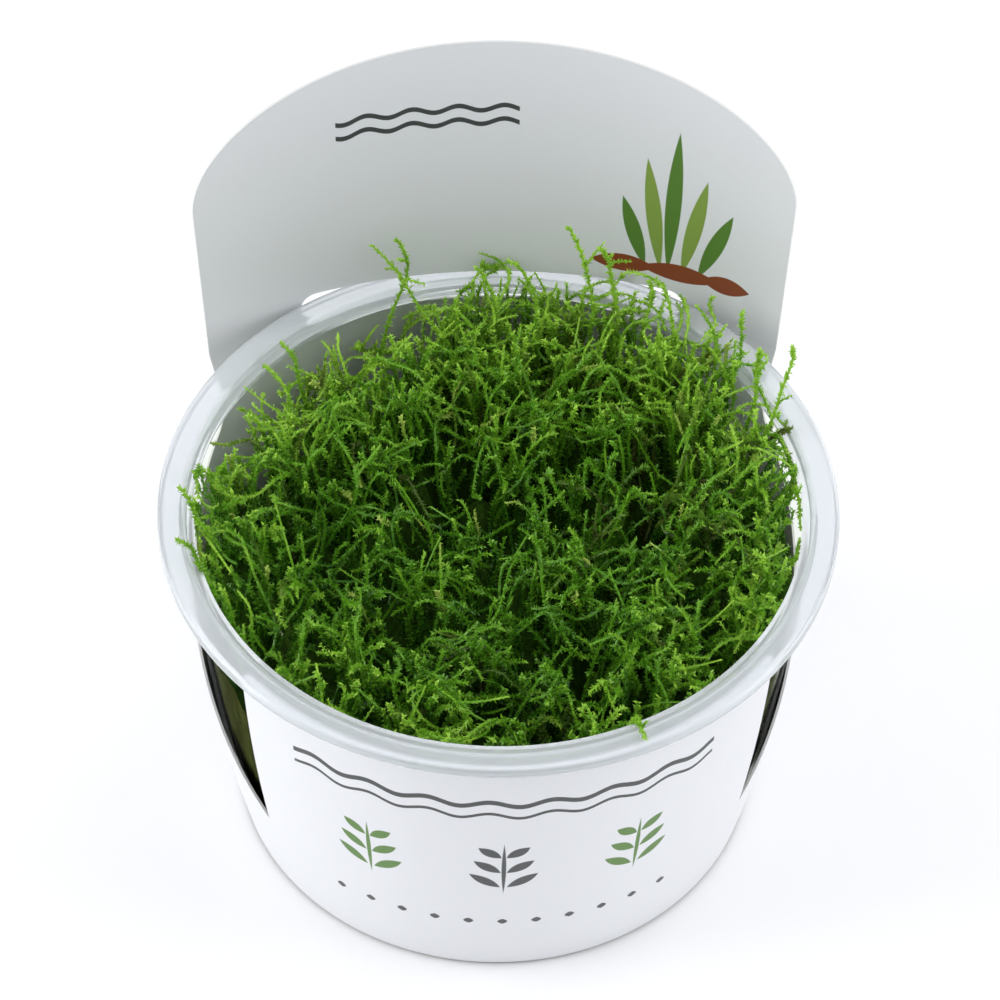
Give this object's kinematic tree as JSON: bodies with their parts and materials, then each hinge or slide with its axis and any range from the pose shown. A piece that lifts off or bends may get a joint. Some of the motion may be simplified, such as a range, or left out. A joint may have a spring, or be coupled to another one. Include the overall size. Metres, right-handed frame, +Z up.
{
  "type": "java moss in a plastic cup",
  "caption": "Dense java moss growing in a clear plastic cup, with a white card sleeve wrapped round it that rises to a tall arched header behind the rim.",
  "frame": {"origin": "centre of the cup's base, on the surface that it stands on", "axes": "+Z up along the cup's axis, -Y towards the sleeve's front panel, +Y towards the tall header, +X to the right as seen from the front"},
  "size_m": [0.101, 0.1008, 0.1074],
  "materials": {
    "cup plastic": "satin",
    "sleeve card": "satin",
    "moss": "satin",
    "moss shoot": "satin"
  },
  "bodies": {
    "root": {"cup": "cup plastic", "sleeve": "sleeve card", "moss_clump": "moss", "moss_shoot_01": "moss shoot", "moss_shoot_02": "moss shoot", "moss_shoot_03": "moss shoot", "moss_shoot_04": "moss shoot", "moss_shoot_05": "moss shoot", "moss_shoot_06": "moss shoot", "moss_shoot_07": "moss shoot", "moss_shoot_08": "moss shoot", "moss_shoot_09": "moss shoot", "moss_shoot_10": "moss shoot", "moss_shoot_11": "moss shoot", "moss_shoot_12": "moss shoot", "moss_shoot_13": "moss shoot", "moss_shoot_14": "moss shoot", "moss_shoot_15": "moss shoot", "moss_shoot_16": "moss shoot", "moss_shoot_17": "moss shoot"}
  },
  "joints": []
}
